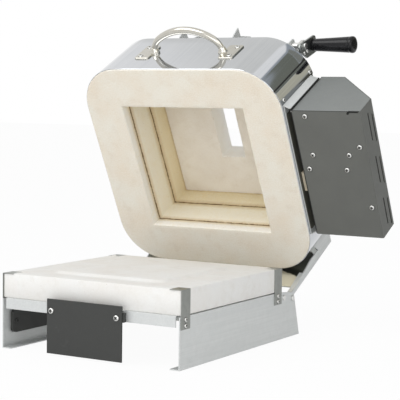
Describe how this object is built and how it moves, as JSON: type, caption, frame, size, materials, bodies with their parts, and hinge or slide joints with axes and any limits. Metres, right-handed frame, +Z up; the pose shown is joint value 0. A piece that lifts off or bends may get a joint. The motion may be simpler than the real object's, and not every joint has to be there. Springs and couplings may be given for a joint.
{
  "type": "bead annealing kiln",
  "caption": "Tabletop kiln with a fibre floor board on a folded steel base and a square shell that tips back on a rear hinge; slot door on top, control box at the side.",
  "frame": {"origin": "on the bench, under the centre of the closed shell", "axes": "+Z up, +Y towards the hinge at the back, +X towards the control box"},
  "size_m": [0.446, 0.5199, 0.4498],
  "materials": {
    "galvanised": "satin",
    "polished_sheet": "polished",
    "zinc_fasteners": "satin",
    "chrome_bar": "polished",
    "white_fibre": "matte",
    "cream_fibre": "matte",
    "black_paint": "satin",
    "box_paint": "satin",
    "grip_plastic": "gloss",
    "black_plastic": "matte",
    "display": "gloss",
    "key_plastic": "matte",
    "rocker_plastic": "gloss",
    "element_wire": "matte",
    "porcelain": "satin"
  },
  "bodies": {
    "base": {"side_panel_left": "galvanised", "side_panel_right": "galvanised", "base_pan": "galvanised", "rear_brace": "galvanised", "floor_board": "white_fibre", "clip_front_left": "galvanised", "clip_front_right": "galvanised", "clip_rear_left": "galvanised", "clip_rear_right": "galvanised", "clip_screws": "zinc_fasteners", "front_plate": "black_paint", "plate_spacer": "black_paint", "plate_screws": "zinc_fasteners", "side_stiffener": "black_paint", "stiffener_screws": "black_paint", "hinge_pin_left": "zinc_fasteners", "hinge_pin_right": "zinc_fasteners", "stop_pins": "zinc_fasteners"},
    "shell": {"ring_lower": "cream_fibre", "ring_middle": "cream_fibre", "ring_upper": "cream_fibre", "ceiling_board": "cream_fibre", "element_lower": "element_wire", "element_upper": "element_wire", "tail_insulators": "porcelain", "jacket": "polished_sheet", "top_cover": "polished_sheet", "shell_screws": "zinc_fasteners", "carry_handle": "chrome_bar", "handle_screws": "zinc_fasteners", "hinge_yoke": "galvanised", "yoke_spacers": "galvanised", "yoke_bolts": "zinc_fasteners", "side_bracket": "galvanised", "thermocouple": "porcelain", "door_bracket": "galvanised", "shaft_bearing": "galvanised", "box_body": "box_paint", "box_front": "box_paint", "box_rear": "box_paint", "box_cover": "box_paint", "box_screws": "zinc_fasteners", "controller": "black_plastic", "display_window": "display", "switch_frame": "black_plastic", "terminal_block": "porcelain", "relay": "black_plastic"},
    "door": {"door_shaft": "zinc_fasteners", "door_arms": "galvanised", "door_pan": "polished_sheet", "door_block": "white_fibre", "lever_plate": "galvanised", "lever_hub": "zinc_fasteners", "lever_screws": "zinc_fasteners", "lever_grip": "grip_plastic"},
    "rocker": {"switch_rocker": "rocker_plastic"},
    "key_1": {"key_1": "key_plastic"},
    "key_2": {"key_2": "key_plastic"},
    "key_3": {"key_3": "key_plastic"},
    "key_4": {"key_4": "key_plastic"}
  },
  "joints": [
    {"name": "lid_hinge", "type": "hinge", "parent": "base", "child": "shell", "pos_m": [0, 0.1765, 0.056], "axis": [1, 0, 0], "range_deg": [0, 62.84]},
    {"name": "door_hinge", "type": "hinge", "parent": "shell", "child": "door", "pos_m": [0, 0.18288, 0.42219], "axis": [-1, 0, 0], "range_deg": [0, 35]},
    {"name": "switch_tilt", "type": "hinge", "parent": "shell", "child": "rocker", "pos_m": [0.24679, 0.23004, 0.2216], "axis": [0, 0.4565, -0.8897], "range_deg": [-20, 0]},
    {"name": "key_1_press", "type": "slide", "parent": "shell", "child": "key_1", "axis": [-0.7071, -0.6291, -0.3228], "range_m": [0, 0.001], "stiffness_N_per_m": 300, "springref_m": -0.0002},
    {"name": "key_2_press", "type": "slide", "parent": "shell", "child": "key_2", "axis": [-0.7071, -0.6291, -0.3228], "range_m": [0, 0.001], "stiffness_N_per_m": 300, "springref_m": -0.0002},
    {"name": "key_3_press", "type": "slide", "parent": "shell", "child": "key_3", "axis": [-0.7071, -0.6291, -0.3228], "range_m": [0, 0.001], "stiffness_N_per_m": 300, "springref_m": -0.0002},
    {"name": "key_4_press", "type": "slide", "parent": "shell", "child": "key_4", "axis": [-0.7071, -0.6291, -0.3228], "range_m": [0, 0.001], "stiffness_N_per_m": 300, "springref_m": -0.0002}
  ]
}
